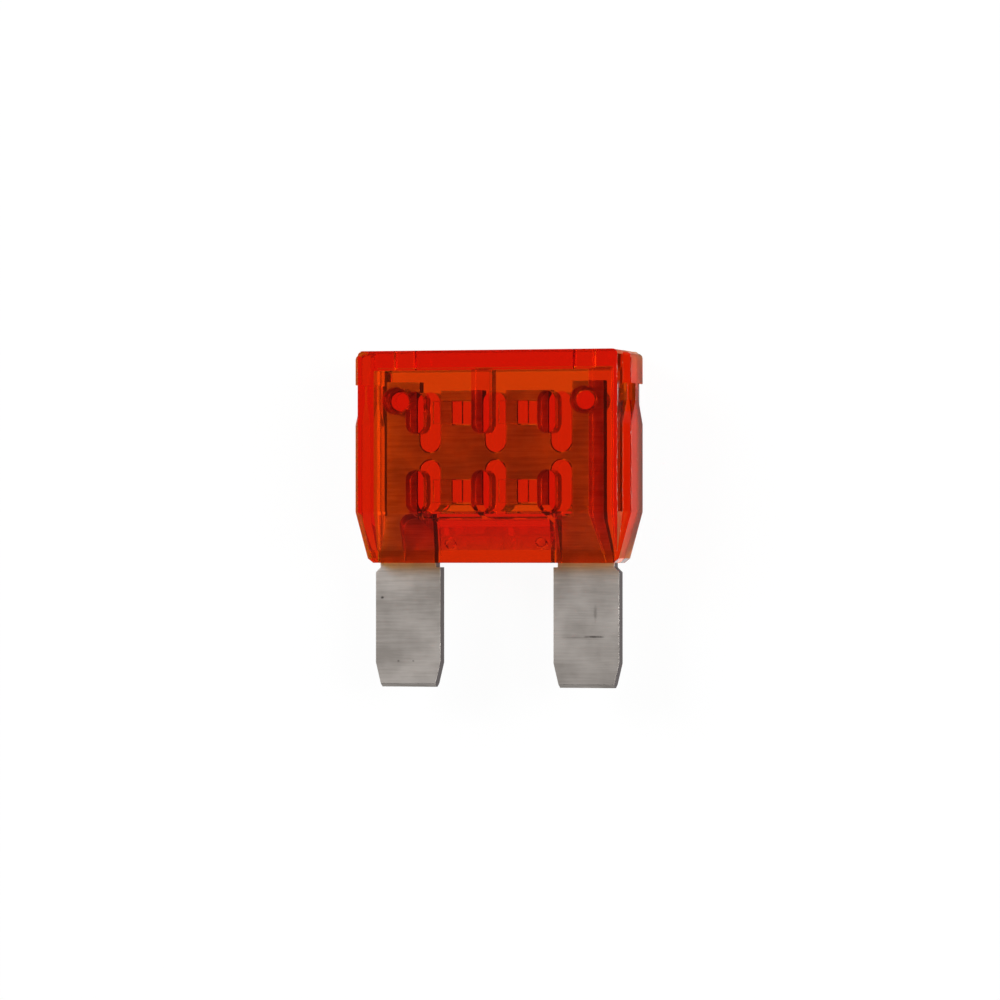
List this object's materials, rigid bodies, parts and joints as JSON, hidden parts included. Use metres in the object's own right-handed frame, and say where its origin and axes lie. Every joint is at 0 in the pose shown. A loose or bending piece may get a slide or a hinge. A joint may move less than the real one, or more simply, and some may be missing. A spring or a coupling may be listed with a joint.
{
  "type": "automotive blade fuse",
  "caption": "Large flat vehicle fuse: clear orange two-part housing with side wings, one stamped zinc strip inside and two flat blades.",
  "frame": {"origin": "middle of the rear face's plane, under the middle of the whole fuse's box", "axes": "+X across the blades, to the right seen from the front; +Y along the fuse, from the blades to the head; +Z out of the front face"},
  "size_m": [0.0292, 0.0342, 0.0089],
  "materials": {
    "housing": "clear orange moulded polycarbonate",
    "zinc": "matt rolled zinc alloy, stamped edges"
  },
  "bodies": {
    "root": {"housing_front": "housing", "housing_rear": "housing", "fuse_element": "zinc"}
  },
  "joints": []
}
